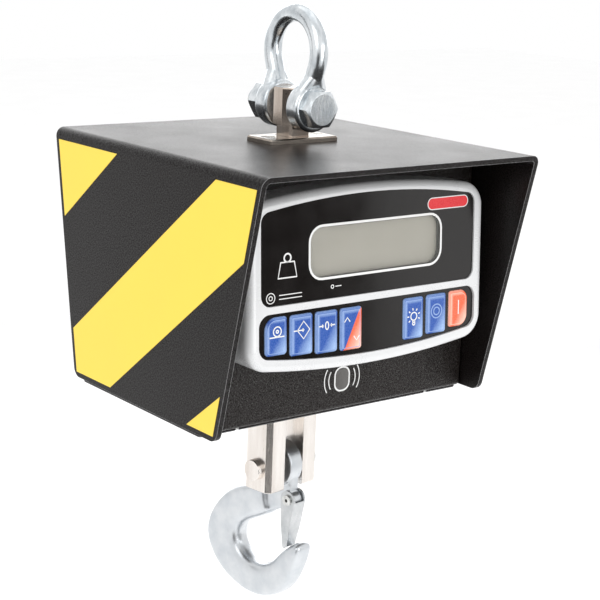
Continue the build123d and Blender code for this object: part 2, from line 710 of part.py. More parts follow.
def label_plate():
    with BuildPart() as label:
        with BuildSketch(face_plane(LABEL_SET + LABEL_T)):
            add(label_face(0.15))
            with Locations((WINDOW_X, WINDOW_Z)):
                RectangleRounded(WINDOW_SIZE[0], WINDOW_SIZE[1], WINDOW_R, mode=Mode.SUBTRACT)
        extrude(amount=LABEL_T)
    save(label.part, "label_plate")


def display_window():
    with BuildPart() as window:
        with BuildSketch(face_plane(LABEL_SET + LABEL_T)):
            with Locations((WINDOW_X, WINDOW_Z)):
                RectangleRounded(WINDOW_SIZE[0] - 0.2, WINDOW_SIZE[1] - 0.2, WINDOW_R - 0.1)
        extrude(amount=LABEL_T - 0.2)
    save(window.part, "display_window")


def lcd_panel():
    back_of_gasket = LABEL_SET + LABEL_T + GASKET_T
    with BuildPart() as lcd:
        with BuildSketch(face_plane(back_of_gasket + LCD_T)):
            with Locations((WINDOW_X, WINDOW_Z)):
                Rectangle(WINDOW_SIZE[0] + 8, WINDOW_SIZE[1] + 7)
        extrude(amount=LCD_T)
    save(lcd.part, "lcd_panel")
    with BuildPart() as gasket:
        with BuildSketch(face_plane(back_of_gasket)):
            with Locations((WINDOW_X, WINDOW_Z)):
                Rectangle(WINDOW_SIZE[0] + 8, WINDOW_SIZE[1] + 7)
                RectangleRounded(WINDOW_SIZE[0] + 0.4, WINDOW_SIZE[1] + 0.4, WINDOW_R, mode=Mode.SUBTRACT)
        extrude(amount=GASKET_T)
    save(gasket.part, "lcd_gasket")


def key_outline(name, grow=0.0):
    """A key's rounded outline; each corner has its own radius."""
    left, right, top, bottom, radii = KEYS[name]
    top += HOOD_TOP
    bottom += HOOD_TOP
    corners = ((left, top), (right, top), (right, bottom), (left, bottom))
    with BuildSketch() as outline:
        Polygon(*corners, align=None)
        for corner, radius in zip(corners, radii):
            fillet(outline.vertices().sort_by_distance(corner)[0], radius)
        if grow:
            offset(amount=grow)
    return outline.sketch


def keypad_mat():
    with BuildPart() as mat:
        with BuildSketch(face_plane(MAT_SET + MAT_T)):
            add(keypad_face(0.15))
            for name in KEYS:
                add(key_outline(name, KEY_GAP), mode=Mode.SUBTRACT)
        extrude(amount=MAT_T)
    save(mat.part, "keypad_mat")


def keypad_key(name):
    back = MAT_SET - KEY_PROUD + KEY_T
    with BuildPart() as key:
        with BuildSketch(face_plane(back)):
            add(key_outline(name))
        extrude(amount=KEY_T)
        front = key.faces().filter_by(face_plane()).sort_by(Axis.Y)[0]
        chamfer(front.edges(), 0.8)
        with BuildSketch(face_plane(back)):
            add(key_outline(name, 0.9))
        extrude(amount=back - MAT_SET - MAT_T - 0.1)
    save(key.part, f"key_{name}")


def key_switches():
    with BuildPart() as switches:
        for left, right, top, bottom, _ in KEYS.values():
            centre = ((left + right) / 2, HOOD_TOP + (top + bottom) / 2)
            with BuildSketch(face_plane(BOARD_SET)):
                with Locations(centre):
                    Rectangle(6, 6)
            extrude(amount=2.6)
            with BuildSketch(face_plane(BOARD_SET - 2.6)):
                with Locations(centre):
                    Circle(1.7)
            extrude(amount=1.9)
    save(switches.part, "key_switches")


def display_board():
    with BuildPart() as board:
        with BuildSketch(face_plane(BOARD_SET + BOARD_T)):
            with Locations((0, HOOD_TOP - 93)):
                Rectangle(200, 112)
        extrude(amount=BOARD_T)
    save(board.part, "display_board")


def sensor_lens():
    with BuildPart() as lens:
        with BuildSketch(front_plane(PANEL_Y + SHEET_T)):
            with Locations((0, SENSOR_Z)):
                RectangleRounded(SENSOR_SIZE[0], SENSOR_SIZE[1], 5.5)
        extrude(amount=SHEET_T + 0.8)
        fillet(lens.faces().sort_by(Axis.Y)[0].edges(), 0.6)
        with BuildSketch(front_plane(PANEL_Y + SHEET_T + 1.2)):
            with Locations((0, SENSOR_Z)):
                RectangleRounded(SENSOR_SIZE[0] + 4, SENSOR_SIZE[1] + 4, 6)
        extrude(amount=1.2)
    save(lens.part, "sensor_lens")


def sensor_board():
    with BuildPart() as board:
        with BuildSketch(front_plane(PANEL_Y + 14)):
            with Locations((0, SENSOR_Z)):
                Rectangle(24, 20)
        extrude(amount=1.6)
        with BuildSketch(front_plane(PANEL_Y + 12.4)):
            with Locations((0, SENSOR_Z)):
                Circle(2.6)
        extrude(amount=6.5)
        fillet(board.faces().sort_by(Axis.Y)[0].edges(), 2.0)
    save(board.part, "sensor_receiver")


# ---------------------------------------------------------------- inside the case
def main_board():
    y = PANEL_Y + SHEET_T + 12
    with BuildPart() as board:
        with BuildSketch(front_plane(y + 1.6)):
            with Locations((0, HOOD_TOP - 106)):
                Rectangle(160, 100)
            with Locations(*below_roof(MAIN_POSTS)):
                Circle(1.7, mode=Mode.SUBTRACT)
        extrude(amount=1.6)
        with BuildSketch(front_plane(y + 1.6)):
            with Locations((-40, HOOD_TOP - 90), (35, HOOD_TOP - 120)):
                Rectangle(26, 18)
        extrude(amount=-3)
    save(board.part, "main_board")
    with BuildPart() as posts:
        with BuildSketch(front_plane(y)):
            with Locations(*below_roof(MAIN_POSTS)):
                Circle(3.2)
                Circle(1.5, mode=Mode.SUBTRACT)
        extrude(amount=12)
    save(posts.part, "board_standoffs")


def battery():
    with BuildPart() as cell:
        with BuildSketch(Plane.XY.offset(BASE_TOP + 0.3)):
            with Locations(BATTERY_AT):
                RectangleRounded(70, 47, 2)
        extrude(amount=100)
        with BuildSketch(Plane.XY.offset(BASE_TOP + 100.3)):
            for side in (-1, 1):
                with Locations((BATTERY_AT[0] + side * 24, BATTERY_AT[1] + 16)):
                    Rectangle(6, 4.8)
        extrude(amount=6)
    save(cell.part, "battery")
    with BuildPart() as strap:
        with BuildSketch(front_plane(BATTERY_AT[1] + 5)):
            with Locations((BATTERY_AT[0], BASE_TOP)):
                Rectangle(74, 102, align=(Align.CENTER, Align.MIN))
                Rectangle(71, 100.5, align=(Align.CENTER, Align.MIN), mode=Mode.SUBTRACT)
            with Locations((BATTERY_AT[0] - 40, BASE_TOP), (BATTERY_AT[0] + 40, BASE_TOP)):
                Rectangle(9, 1.5, align=(Align.CENTER, Align.MIN))
        extrude(amount=10)
    save(strap.part, "battery_strap")


def charge_jack():
    x, z = below_roof([JACK])[0]
    face = Plane((x, REAR_Y, z), x_dir=(1, 0, 0), z_dir=(0, 1, 0))
    with BuildPart() as jack:
        with BuildSketch(face):
            Circle(7.6)
        extrude(amount=1.8)
        chamfer(jack.faces().sort_by(Axis.Y)[-1].edges(), 0.5)
        with BuildSketch(face):
            Circle(6.0)
        extrude(amount=-14)
        with BuildSketch(face.offset(1.8)):
            Circle(2.85)
            Circle(1.0, mode=Mode.SUBTRACT)
        extrude(amount=-11, mode=Mode.SUBTRACT)
    save(jack.part, "charge_jack")


# ---------------------------------------------------------------- hook and latch
HOOK_OUTER = (
    (-12, -18), (-20, -24.5), (-37, -29.8), (-60, -43.8), (-78.5, -67), (-83.4, -85), (-72, -109.6),
    (-50, -124), (-27, -129.4), (-5, -126.5), (13.4, -115.5), (25, -97), (31.6, -79.2), (33.4, -70.5),
)
HOOK_TIP = (30.6, -66.9)
HOOK_INNER = (
    (26, -66.8), (18.5, -72.4), (8, -81.5), (-1, -91.6), (-12, -98.2), (-24, -99.8), (-36, -95.8),
    (-43.5, -88), (-45, -78), (-40, -68.5), (-28, -60.5), (-12, -52), (2, -43.5), (14, -37.2),
)


HOOK_NECK = (
    (-12, -8), (17.5, -8), (17.5, -34), (14, -37.2), (2, -43.3), (-7, -47.6), (-16, -48), (-26, -40),
    (-22, -28.5), (-15, -21.6), (-12, -18.4),
)


def hook_outline():
    """The hook below its eye, in the hook's plane."""
    with BuildSketch() as outline:
        with BuildLine():
            outer = Spline(*HOOK_OUTER)
            ThreePointArc(outer @ 1, HOOK_TIP, HOOK_INNER[0])
            inner = Spline(*HOOK_INNER)
            Polyline(inner @ 1, (17.5, -34), (17.5, -8), (-12, -8), outer @ 0)
        make_face()
    return outline.sketch


def on_cheek(edge):
    """Whether an edge lies in one of the hook's two flat cheeks."""
    return abs(hook_plane().to_local_coords(edge.center()).Z) > HOOK_T / 2 - 0.1


def hook_body():
    with BuildPart() as hook:
        with BuildSketch(hook_plane()):
            add(hook_outline())
            Circle(EYE_CLEAR_R, mode=Mode.SUBTRACT)
            with Locations(LATCH_PIVOT):
                Circle(LATCH_CLEAR_R, mode=Mode.SUBTRACT)
        extrude(amount=HOOK_T / 2, both=True)
        by_length = hook.edges().filter_by(on_cheek).sort_by(SortBy.LENGTH)
        fillet(by_length[-4:-2], BOWL_ROUND)
        still_sharp = hook.edges().filter_by(on_cheek).filter_by(lambda edge: not 100 < edge.length < 200)
        fillet(still_sharp, HOOK_ROUND)
        with BuildSketch(hook_plane()):
            Polygon(*HOOK_NECK, align=None)
            with Locations(LATCH_PIVOT):
                Circle(BOSS_R)
        extrude(amount=BOSS_T / 2, both=True)
        with BuildSketch(hook_plane()):
            Circle(EYE_R)
        extrude(amount=EYE_T / 2, both=True)
        with BuildSketch(hook_plane(-30)):
            Circle(HOOK_PIN_R + RUN)
            with Locations(LATCH_PIVOT):
                Circle(RIVET_R + 0.03)
        extrude(amount=60, mode=Mode.SUBTRACT)
        with BuildSketch(hook_plane(-BOSS_T / 2)):
            with Locations(LATCH_PIVOT):
                Circle(SPRING_POCKET[0])
        extrude(amount=SPRING_POCKET[1], mode=Mode.SUBTRACT)
    save(hook.part, "hook_body")


def latch():
    px, py = LATCH_PIVOT
    end = (11.6, -76.6)
    with BuildPart() as gate:
        with BuildSketch(hook_plane(-LATCH_HALF)):
            with Locations(LATCH_PIVOT):
                Circle(8.3)
            Polygon((px - 8.0, py - 2), (end[0] - 1.2, end[1] + 2), end, (end[0] + 4.4, end[1] + 3.4),
                    (px + 8.2, py - 1), align=None)
        extrude(amount=2 * LATCH_HALF)
        pivot_level = hook_plane().from_local_coords((0, py, 0))
        side = Plane(pivot_level, x_dir=turned(-1, 0, 0), z_dir=turned(0, 1, 0))
        with BuildSketch(side) as taper:
            Polygon((-LATCH_HALF, 12), (LATCH_HALF, 12), (LATCH_HALF, -LATCH_STRAIGHT),
                    (LATCH_TIP_HALF, -50), (-LATCH_TIP_HALF, -50), (-LATCH_HALF, -LATCH_STRAIGHT), align=None)
        extrude(amount=60, both=True, mode=Mode.INTERSECT)
        with BuildSketch(side):
            inner = LATCH_HALF - LATCH_T
            inner_tip = LATCH_TIP_HALF - LATCH_T
            Polygon((-inner, 13), (inner, 13), (inner, -LATCH_STRAIGHT), (inner_tip, -51),
                    (-inner_tip, -51), (-inner, -LATCH_STRAIGHT), align=None)
        extrude(amount=60, both=True, mode=Mode.SUBTRACT)
    with BuildPart() as web:
        with BuildSketch(hook_plane(-LATCH_HALF)):
            Polygon((px + 8.2, py - 1), (end[0] + 4.4, end[1] + 3.4), (end[0] + 2.8, end[1] + 2.2),
                    (px + 6.6, py - 1.4), align=None)
        extrude(amount=2 * LATCH_HALF)
        with BuildSketch(side):
            Polygon((-LATCH_HALF, 0), (LATCH_HALF, 0), (LATCH_HALF, -LATCH_STRAIGHT), (LATCH_TIP_HALF, -50),
                    (-LATCH_TIP_HALF, -50), (-LATCH_HALF, -LATCH_STRAIGHT), align=None)
        extrude(amount=60, both=True, mode=Mode.INTERSECT)
    with BuildPart() as whole:
        add(gate.part)
        add(web.part)
        with BuildSketch(hook_plane(-30)):
            with Locations(LATCH_PIVOT):
                Circle(RIVET_R + 0.05)
        extrude(amount=60, mode=Mode.SUBTRACT)
    save(whole.part, "latch")


def latch_rivet():
    with BuildPart() as rivet:
        with BuildSketch(hook_plane(-LATCH_HALF - 1.6)):
            with Locations(LATCH_PIVOT):
                Circle(RIVET_R)
        extrude(amount=2 * LATCH_HALF + 3.2)
        for start in (-LATCH_HALF - 1.7, LATCH_HALF + 0.1):
            with BuildSketch(hook_plane(start)):
                with Locations(LATCH_PIVOT):
                    Circle(4.7)
            extrude(amount=1.6)
        with BuildSketch(hook_plane(-LATCH_HALF - 3)):
            with Locations(LATCH_PIVOT):
                Circle(1.5)
        extrude(amount=2 * LATCH_HALF + 6, mode=Mode.SUBTRACT)
    save(rivet.part, "latch_rivet")


def latch_spring():
    start = hook_plane(0.3 - BOSS_T / 2).from_local_coords((LATCH_PIVOT[0], LATCH_PIVOT[1], 0))
    with BuildPart() as spring:
        with BuildLine() as coil:
            Helix(pitch=1.15, height=2.3, radius=4.4, center=start, direction=hook_plane().z_dir)
        with BuildSketch(Plane(coil.line @ 0, z_dir=coil.line % 0)):
            Circle(0.4)
        sweep(path=coil.line, is_frenet=True)
    save(spring.part, "latch_spring")


os.makedirs("parts", exist_ok=True)
shackle_bow()
shackle_bolt()
shackle_nut()
shackle_cotter()
upper_lug()
top_plate()
top_plate_screws()
load_cell()
cell_studs()
jam_nuts()
lower_clevis()
clevis_pin()
pin_ring()
hood()
stripe_decal("hazard_stripes_left", -HOOD_W / 2, -DECAL_T)
stripe_decal("hazard_stripes_right", HOOD_W / 2, DECAL_T)
front_panel()
rear_cover()
rear_rails()
base_brackets()
base_plate()
case_screws()
display_bezel()
display_back()
label_plate()
display_window()
lcd_panel()
keypad_mat()
for key_name in KEYS:
    keypad_key(key_name)
key_switches()
display_board()
sensor_lens()
sensor_board()
main_board()
battery()
charge_jack()
hook_body()
latch()
latch_rivet()
latch_spring()
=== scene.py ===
import json
import math

import bpy
from mathutils import Matrix, Vector


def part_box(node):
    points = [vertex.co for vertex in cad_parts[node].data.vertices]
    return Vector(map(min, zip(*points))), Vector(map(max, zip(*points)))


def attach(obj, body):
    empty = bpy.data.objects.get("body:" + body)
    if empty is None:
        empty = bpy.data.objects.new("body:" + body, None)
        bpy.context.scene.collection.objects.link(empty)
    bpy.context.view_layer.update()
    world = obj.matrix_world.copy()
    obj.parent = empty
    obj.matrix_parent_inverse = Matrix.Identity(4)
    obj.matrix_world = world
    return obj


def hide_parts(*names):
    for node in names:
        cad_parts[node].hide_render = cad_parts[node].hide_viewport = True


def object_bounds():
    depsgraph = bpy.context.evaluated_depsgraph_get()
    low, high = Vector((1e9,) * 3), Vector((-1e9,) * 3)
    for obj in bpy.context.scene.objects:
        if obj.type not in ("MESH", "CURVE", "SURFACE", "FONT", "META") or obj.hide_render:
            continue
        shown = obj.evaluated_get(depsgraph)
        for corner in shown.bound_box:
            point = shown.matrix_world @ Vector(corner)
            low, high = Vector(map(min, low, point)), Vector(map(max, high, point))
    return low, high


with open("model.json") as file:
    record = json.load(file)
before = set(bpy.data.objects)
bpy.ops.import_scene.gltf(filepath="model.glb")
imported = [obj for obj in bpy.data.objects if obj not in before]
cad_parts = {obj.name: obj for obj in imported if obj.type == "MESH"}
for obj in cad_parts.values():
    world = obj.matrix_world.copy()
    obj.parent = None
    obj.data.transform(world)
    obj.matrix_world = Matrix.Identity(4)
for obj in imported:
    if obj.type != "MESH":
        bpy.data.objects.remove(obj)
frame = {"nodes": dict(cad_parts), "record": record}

# Crane scale: materials, printed details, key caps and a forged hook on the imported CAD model.
# Lengths are in metres; the display faces -Y.
MM = 0.001
cad_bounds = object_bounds()
nodes = frame["nodes"]


# ---------------------------------------------------------------- material helpers
PLATING_GRAIN = 900.0        # noise scale of a plated surface's finest grain
PAINT_CLOUD = 14.0           # noise scale of slow changes in the paint
DUST_GRAIN = 2600.0          # noise scale of single specks
DUST_COLOUR = (0.35, 0.35, 0.34, 1)
# pale colour for powder-coat edges: a painted highlight line along the sheet edges, with a little wear
EDGE_HIGHLIGHT_AND_WEAR_COLOUR = (0.60, 0.60, 0.61, 1)
CLEAR_DRIFT = 1.2            # paint that drifts more than this also shows its wrinkles


class Shader:
    """A material's node tree, with short calls for the nodes this scene uses."""

    def __init__(self, name):
        self.material = bpy.data.materials.new(name)
        self.material.use_nodes = True
        self.tree = self.material.node_tree
        self.bsdf = self.tree.nodes["Principled BSDF"]
        self.coords = self.tree.nodes.new("ShaderNodeTexCoord").outputs["Object"]

    def set(self, **values):
        for key, value in values.items():
            self.bsdf.inputs[key.replace("_", " ")].default_value = value
        return self

    def link(self, output, socket):
        self.tree.links.new(output, self.bsdf.inputs[socket])

    def node(self, kind, values=None, links=None, **settings):
        made = self.tree.nodes.new(kind)
        for key, value in settings.items():
            setattr(made, key, value)
        for key, value in (values or {}).items():
            made.inputs[key].default_value = value
        for key, output in (links or {}).items():
            self.tree.links.new(output, made.inputs[key])
        return made

    def stretched(self, scale):
        return self.node("ShaderNodeMapping", {"Scale": scale}, {"Vector": self.coords}).outputs["Vector"]

    def noise(self, scale, detail=4.0, roughness=0.55, vector=None):
        values = {"Scale": scale, "Detail": detail, "Roughness": roughness}
        made = self.node("ShaderNodeTexNoise", values, {"Vector": vector or self.coords})
        return made.outputs["Fac"]

    def cell_edges(self, scale):
        made = self.node("ShaderNodeTexVoronoi", {"Scale": scale}, {"Vector": self.coords},
                         feature="DISTANCE_TO_EDGE")
        return made.outputs["Distance"]

    def ramp(self, factor, stops):
        made = self.node("ShaderNodeValToRGB", links={"Fac": factor})
        elements = made.color_ramp.elements
        while len(elements) < len(stops):
            elements.new(0.5)
        for element, (place, colour) in zip(elements, stops):
            element.position = place
            element.color = (*colour, 1.0)
        return made.outputs["Color"]

    def remap(self, value, low, high, start=0.3, end=0.7):
        values = {"From Min": start, "From Max": end, "To Min": low, "To Max": high}
        return self.node("ShaderNodeMapRange", values, {"Value": value}).outputs["Result"]

    def mix(self, factor, first, second):
        made = self.node("ShaderNodeMix", data_type="RGBA", blend_type="MIX")
        for index, value in ((0, factor), (6, first), (7, second)):
            if hasattr(value, "is_output"):
                self.tree.links.new(value, made.inputs[index])
            else:
                made.inputs[index].default_value = value
        return made.outputs[2]

    def bevel(self, radius):
        return self.node("ShaderNodeBevel", {"Radius": radius}, samples=4).outputs["Normal"]

    def bump(self, height, strength, distance, normal=None):
        links = {"Height": height}
        if normal is not None:
            links["Normal"] = normal
        made = self.node("ShaderNodeBump", {"Strength": strength, "Distance": distance}, links)
        return made.outputs["Normal"]

    def edge_mask(self, radius, gain):
        """1 along sharp edges, 0 on flats, from how far a rounded normal turns from the true one."""
        rounded = self.bevel(radius)
        true = self.tree.nodes.new("ShaderNodeNewGeometry").outputs["Normal"]
        dot = self.node("ShaderNodeVectorMath", links={0: rounded, 1: true}, operation="DOT_PRODUCT")
        return self.remap(dot.outputs["Value"], gain, 0.0, 0.9, 1.0)


def plated(name, dark, light, patch, rough, bump_scale, bump_depth, stretch=(1, 1, 1), bevel=0.5 * MM):
    """Bare or plated metal: patchy tint and gloss, with a fine surface grain."""
    s = Shader(name).set(Metallic=1.0)
    where = s.stretched(stretch)
    cloud = s.noise(patch, 6.0, 0.6, where)
    s.link(s.ramp(cloud, ((0.32, dark), (0.62, light))), "Base Color")
    grain = s.noise(PLATING_GRAIN, 3.0, 0.6, where)
    mottled = s.mix(0.35, cloud, grain)
    s.link(s.remap(mottled, rough[1], rough[0]), "Roughness")
    height = s.noise(bump_scale, 5.0, 0.6, where)
    s.link(s.bump(height, 0.5, bump_depth, s.bevel(bevel)), "Normal")
    return s.material


def powder_coat(name, colour, rough, grain, depth, dust=0.0, edge=0.25, drift=1.5, gloss=0.3):
    """Textured powder coat: fine wrinkles, uneven gloss, and paler edges that are a painted highlight line
    along each sheet edge, with a little wear.
    """
    s = Shader(name).set(Specular_IOR_Level=gloss)
    cloud = s.noise(PAINT_CLOUD, 5.0, 0.6)
    wrinkle = s.noise(grain, 4.0, 0.65)
    pale = tuple(c * drift for c in colour)
    base = s.mix(s.remap(cloud, 0.0, 1.0), (*colour, 1), (*pale, 1))
    if drift > CLEAR_DRIFT:
        base = s.mix(s.remap(wrinkle, 0.0, 1.0, 0.42, 0.62), base, tuple(c * 2.4 for c in colour) + (1,))
    speck = s.remap(s.noise(DUST_GRAIN, 1.0, 0.5), 0.0, dust, 0.66, 0.72)
    base = s.mix(speck, base, DUST_COLOUR)
    # paler along sharp edges: a painted highlight line on each sheet edge, with a little wear
    worn = s.edge_mask(0.55 * MM, edge)
    s.link(s.mix(worn, base, EDGE_HIGHLIGHT_AND_WEAR_COLOUR), "Base Color")
    if drift > CLEAR_DRIFT:
        s.link(s.remap(wrinkle, gloss * 0.35, gloss * 1.75, 0.40, 0.62), "Specular IOR Level")
    s.link(s.remap(s.mix(0.5, cloud, wrinkle), rough[0], rough[1]), "Roughness")
    s.link(s.bump(wrinkle, 0.6, depth, s.bevel(0.5 * MM)), "Normal")
    return s.material


def moulded(name, colour, rough, grain=1500.0, depth=0.02 * MM, coat=0.0, spread=0.12, metallic=0.0,
            bevel=0.3 * MM):
    """Moulded or painted plastic: faint colour drift, spark-eroded grain."""
    s = Shader(name).set(Metallic=metallic, Coat_Weight=coat, Coat_Roughness=0.05)
    cloud = s.noise(30.0, 4.0, 0.5)
    dark = tuple(c * (1 - spread) for c in colour)
    light = tuple(min(1.0, c * (1 + spread)) for c in colour)
    s.link(s.ramp(cloud, ((0.35, dark), (0.65, light))), "Base Color")
    fine = s.noise(grain, 2.0, 0.5)
    s.link(s.remap(s.mix(0.4, cloud, fine), rough[0], rough[1]), "Roughness")
    s.link(s.bump(fine, 0.4, depth, s.bevel(bevel)), "Normal")
    return s.material


def printed_key(name, colour, highlight, second=None, second_highlight=None):
    """A key's printed film: paler along the top left edge and towards the lower right, per key."""
    s = Shader(name).set(Coat_Weight=0.25, Coat_Roughness=0.08)
    place = s.tree.nodes.new("ShaderNodeTexCoord").outputs["Generated"]
    parts = s.node("ShaderNodeSeparateXYZ", links={0: place}).outputs
    across, up = parts["X"], parts["Z"]
    if second is not None:
        slant = s.node("ShaderNodeMath", {1: -0.80}, {0: up}, operation="MULTIPLY").outputs[0]
        side = s.node("ShaderNodeMath", links={0: across, 1: slant}, operation="ADD").outputs[0]
        half = s.remap(side, 0.0, 1.0, 0.14, 0.16)
        colour = s.mix(half, (*colour, 1), (*second, 1))
        highlight = s.mix(half, (*highlight, 1), (*second_highlight, 1))
    else:
        colour, highlight = (*colour, 1), (*highlight, 1)
    lower = s.node("ShaderNodeMath", links={0: across, 1: up}, operation="SUBTRACT").outputs[0]
    glow = s.remap(lower, 0.0, 0.75, 0.15, 0.85)
    left = s.remap(across, 0.75, 0.0, 0.0, 0.16)
    top = s.remap(up, 0.0, 0.6, 0.9, 1.0)
    rim = s.node("ShaderNodeMath", links={0: left, 1: top}, operation="MAXIMUM").outputs[0]
    pale = s.node("ShaderNodeMath", links={0: glow, 1: rim}, operation="MAXIMUM").outputs[0]
    faint = s.remap(s.noise(180.0, 4.0, 0.6), -0.04, 0.04)
    varied = s.node("ShaderNodeMath", links={0: pale, 1: faint}, operation="ADD", use_clamp=True).outputs[0]
    s.link(s.mix(varied, colour, highlight), "Base Color")
    s.link(s.remap(s.noise(700.0, 3.0, 0.6), 0.22, 0.34), "Roughness")
    s.link(s.bump(s.noise(1300.0, 2.0, 0.5), 0.3, 0.015 * MM, s.bevel(0.4 * MM)), "Normal")
    return s.material


def clear_window():
    s = Shader("clear_window").set(Roughness=0.04, Alpha=0.06)
    smear = s.noise(60.0, 4.0, 0.6)
    s.link(s.ramp(smear, ((0.3, (0.75, 0.77, 0.72)), (0.7, (0.85, 0.86, 0.82)))), "Base Color")
    s.link(s.remap(smear, 0.03, 0.09), "Roughness")
    return s.material


def circuit_board():
    s = Shader("green_board").set(Roughness=0.4)
    lines = s.cell_edges(220.0)
    s.link(s.ramp(lines, ((0.02, (0.30, 0.24, 0.08)), (0.06, (0.01, 0.12, 0.04)))), "Base Color")
    s.link(s.remap(s.noise(400.0), 0.3, 0.5), "Roughness")
    s.link(s.bump(lines, 0.5, 0.05 * MM), "Normal")
    return s.material


BLUE, BLUE_LIGHT = (0.018, 0.085, 0.38), (0.42, 0.60, 0.88)
ORANGE, ORANGE_LIGHT = (0.84, 0.13, 0.05), (0.97, 0.72, 0.60)
SLOT_MATERIALS = {
    "galvanised": plated("galvanised", (0.48, 0.52, 0.55), (0.76, 0.79, 0.81), 90.0, (0.14, 0.30), 260.0,
                         0.12 * MM, (1.6, 1, 0.45)),
    "nickel_steel": plated("nickel_steel", (0.38, 0.31, 0.26), (0.56, 0.49, 0.43), 70.0, (0.10, 0.22),
                           900.0, 0.05 * MM, (1, 1, 0.15)),
    "bright_steel": plated("bright_steel", (0.74, 0.68, 0.63), (0.92, 0.88, 0.84), 60.0, (0.16, 0.30),
                           900.0, 0.04 * MM, (1, 1, 0.1)),
    "dark_steel": plated("dark_steel", (0.16, 0.16, 0.17), (0.42, 0.42, 0.43), 80.0, (0.25, 0.5), 700.0,
                         0.08 * MM),
    "zinc_wire": plated("zinc_wire", (0.50, 0.51, 0.50), (0.78, 0.78, 0.76), 160.0, (0.2, 0.4), 700.0,
                        0.08 * MM),
    "zinc_sheet": plated("zinc_sheet", (0.48, 0.50, 0.51), (0.62, 0.63, 0.64), 70.0, (0.24, 0.38), 500.0,
                         0.015 * MM),
    "zinc_steel": plated("zinc_steel", (0.58, 0.61, 0.64), (0.68, 0.70, 0.72), 60.0, (0.27, 0.37), 700.0,
                         0.03 * MM, bevel=1.2 * MM),
    "black_paint": powder_coat("black_paint", (0.0030, 0.0021, 0.0020), (0.28, 0.42), 900.0, 0.10 * MM,
                               dust=0.12, edge=0.8, gloss=0.22),
    "yellow_vinyl": powder_coat("yellow_vinyl", (0.95, 0.69, 0.085), (0.32, 0.42), 900.0, 0.03 * MM,
                                edge=0.0, drift=1.03),
    "silver_plastic": moulded("silver_plastic", (0.70, 0.705, 0.71), (0.26, 0.30), metallic=0.12,
                              spread=0.01, depth=0.006 * MM, bevel=0.5 * MM),
    "black_plastic": moulded("black_plastic", (0.02, 0.02, 0.02), (0.35, 0.5)),
    "black_gloss": moulded("black_gloss", (0.006, 0.0045, 0.004), (0.10, 0.18), 60.0, 0.01 * MM, coat=0.1),
    "clear_window": clear_window(),
    "lcd_grey": moulded("lcd_grey", (0.315, 0.297, 0.25), (0.3, 0.42), 2500.0, 0.001 * MM, spread=0.02),
    "blue_key": printed_key("blue_key", BLUE, BLUE_LIGHT),
    "orange_key": printed_key("orange_key", ORANGE, ORANGE_LIGHT),
    "green_board": circuit_board(),
    "dark_lens": moulded("dark_lens", (0.10, 0.095, 0.09), (0.06, 0.12), coat=0.6),
    "brass_post": plated("brass_post", (0.55, 0.38, 0.14), (0.80, 0.60, 0.28), 90.0, (0.2, 0.35), 800.0,
                         0.05 * MM),
    "grey_case": moulded("grey_case", (0.05, 0.05, 0.055), (0.35, 0.5)),
}
split_key = printed_key("split_key", BLUE, BLUE_LIGHT, ORANGE, ORANGE_LIGHT)
panel_paint = powder_coat("panel_paint", (0.0034, 0.0020, 0.0016), (0.22, 0.45), 780.0, 0.6 * MM, dust=0.5,
                          gloss=0.28)
plate_nickel = plated("plate_nickel", (0.26, 0.22, 0.19), (0.40, 0.355, 0.31), 70.0, (0.16, 0.30), 900.0,
                      0.05 * MM)
white_ink = moulded("white_ink", (0.80, 0.80, 0.79), (0.25, 0.4), spread=0.03)
peach_ink = moulded("peach_ink", (0.90, 0.55, 0.42), (0.25, 0.4), spread=0.03)
pale_ink = moulded("pale_ink", (0.26, 0.38, 0.66), (0.25, 0.4), spread=0.03)
red_ink = moulded("red_ink", (0.70, 0.018, 0.026), (0.2, 0.35), spread=0.05, coat=0.2)
slot_of = {entry["node"]: entry["material_slot"] for entry in frame["record"]["subparts"]}
for name, obj in nodes.items():
    obj.data.materials.clear()
    obj.data.materials.append(SLOT_MATERIALS[slot_of[name]])
nodes["front_panel"].data.materials[0] = panel_paint
nodes["key_unit"].data.materials[0] = split_key
nodes["top_plate"].data.materials[0] = plate_nickel


# ---------------------------------------------------------------- printed details and key caps
slide = next(joint for joint in frame["record"]["behaviour"]["joints"] if joint["type"] == "slide")
INWARD = Vector(slide["axis"])
FACE_UP = Vector((0, -INWARD.z, INWARD.y))


class Face:
    """A flat face given by its front lower edge; it maps (x, z, proud) to the row frame, all in metres."""

    def __init__(self, node, tilted):
        low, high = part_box(node)
        self.low, self.high = Vector(low), Vector(high)
        self.up = FACE_UP if tilted else Vector((0, 0, 1))
        self.out = -INWARD if tilted else Vector((0, -1, 0))

    def __call__(self, x, z, proud):
        along = (z - self.low.z) / self.up.z
        return Vector((x, self.low.y, self.low.z)) + self.up * along + self.out * proud


def rounded(left, right, low, high, radii, inset=0.0, steps=6):
    """Points of a rectangle with its own radius at each corner, from the top left one, clockwise."""
    corners = ((left, high, 1, -1, 180), (right, high, -1, -1, 90), (right, low, -1, 1, 0),
               (left, low, 1, 1, -90))
    points = []
    for (x, z, to_x, to_z, start), radius in zip(corners, radii):
        r = max(radius - inset, 0.2 * MM)
        cx, cz = x + to_x * (inset + r), z + to_z * (inset + r)
        for step in range(steps + 1):
            angle = math.radians(start - 90 * step / steps)
            points.append((cx + r * math.cos(angle), cz + r * math.sin(angle)))
    return points


def add_piece(name, verts, faces, material, body, slot, smooth=False):
    mesh = bpy.data.meshes.new(name)
    mesh.from_pydata([tuple(v) for v in verts], [], faces)
    mesh.validate()
    mesh.update()
    if smooth:
        mesh.polygons.foreach_set("use_smooth", [True] * len(mesh.polygons))
    mesh.materials.append(material)
    obj = bpy.data.objects.new(name, mesh)
    bpy.context.scene.collection.objects.link(obj)
    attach(obj, body)
    return obj


